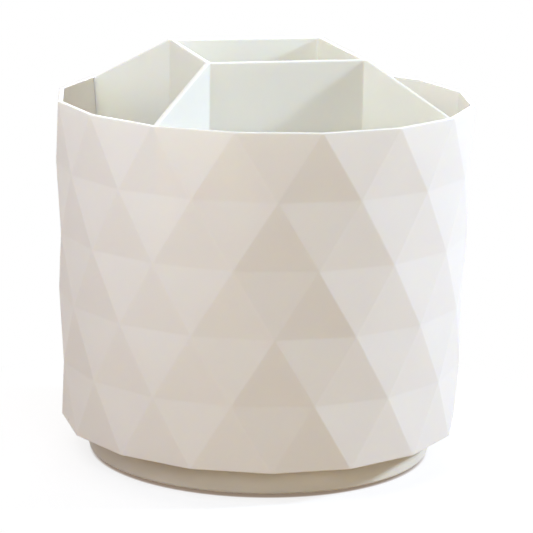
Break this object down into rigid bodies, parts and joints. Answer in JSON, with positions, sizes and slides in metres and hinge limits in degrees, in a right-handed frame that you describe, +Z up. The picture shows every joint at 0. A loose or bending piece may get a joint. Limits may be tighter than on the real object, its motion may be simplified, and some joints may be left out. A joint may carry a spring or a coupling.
{
  "type": "rotating pen holder",
  "caption": "Round faceted desk drum with a raised square tower and sloping dividers, turning on a ball ring in a low round base, to hold pens and small tools upright.",
  "frame": {"origin": "on the desk under the centre of the base, on the turning axis", "axes": "+Z up along the turning axis, -Y square to one wall of the tower"},
  "size_m": [0.124, 0.124, 0.1213],
  "materials": {
    "drum_plastic": "satin moulded, warm white",
    "insert_plastic": "satin moulded, warm white",
    "base_plastic": "satin moulded, warm white",
    "bearing_steel": "ground and polished",
    "fastener_steel": "zinc plated",
    "nylon": "natural nylon",
    "foot_rubber": "matte moulded"
  },
  "bodies": {
    "base": {"base_shell": "base_plastic", "lower_race": "bearing_steel", "pivot_bush": "nylon", "base_plate": "base_plastic", "base_plate_screws": "fastener_steel", "rubber_foot_1": "foot_rubber", "rubber_foot_2": "foot_rubber", "rubber_foot_3": "foot_rubber", "rubber_foot_4": "foot_rubber"},
    "drum": {"faceted_drum": "drum_plastic", "divider_insert": "insert_plastic", "turntable_plate": "base_plastic", "drum_screws": "fastener_steel", "upper_race": "bearing_steel", "pivot_screw": "fastener_steel", "lock_washer": "fastener_steel", "pivot_washer": "fastener_steel", "slip_washer": "nylon"},
    "ball_ring": {"bearing_balls": "bearing_steel", "ball_cage": "nylon"}
  },
  "joints": [
    {"name": "drum_spin", "type": "hinge", "parent": "base", "child": "drum", "pos_m": [0, 0, 0.0116], "axis": [0, 0, 1], "continuous": true},
    {"name": "ball_ring_spin", "type": "hinge", "parent": "base", "child": "ball_ring", "pos_m": [0, 0, 0.0136], "axis": [0, 0, 1], "continuous": true}
  ],
  "couplings": [
    {"joint": "ball_ring_spin", "follows": "drum_spin", "ratio": 0.5}
  ]
}
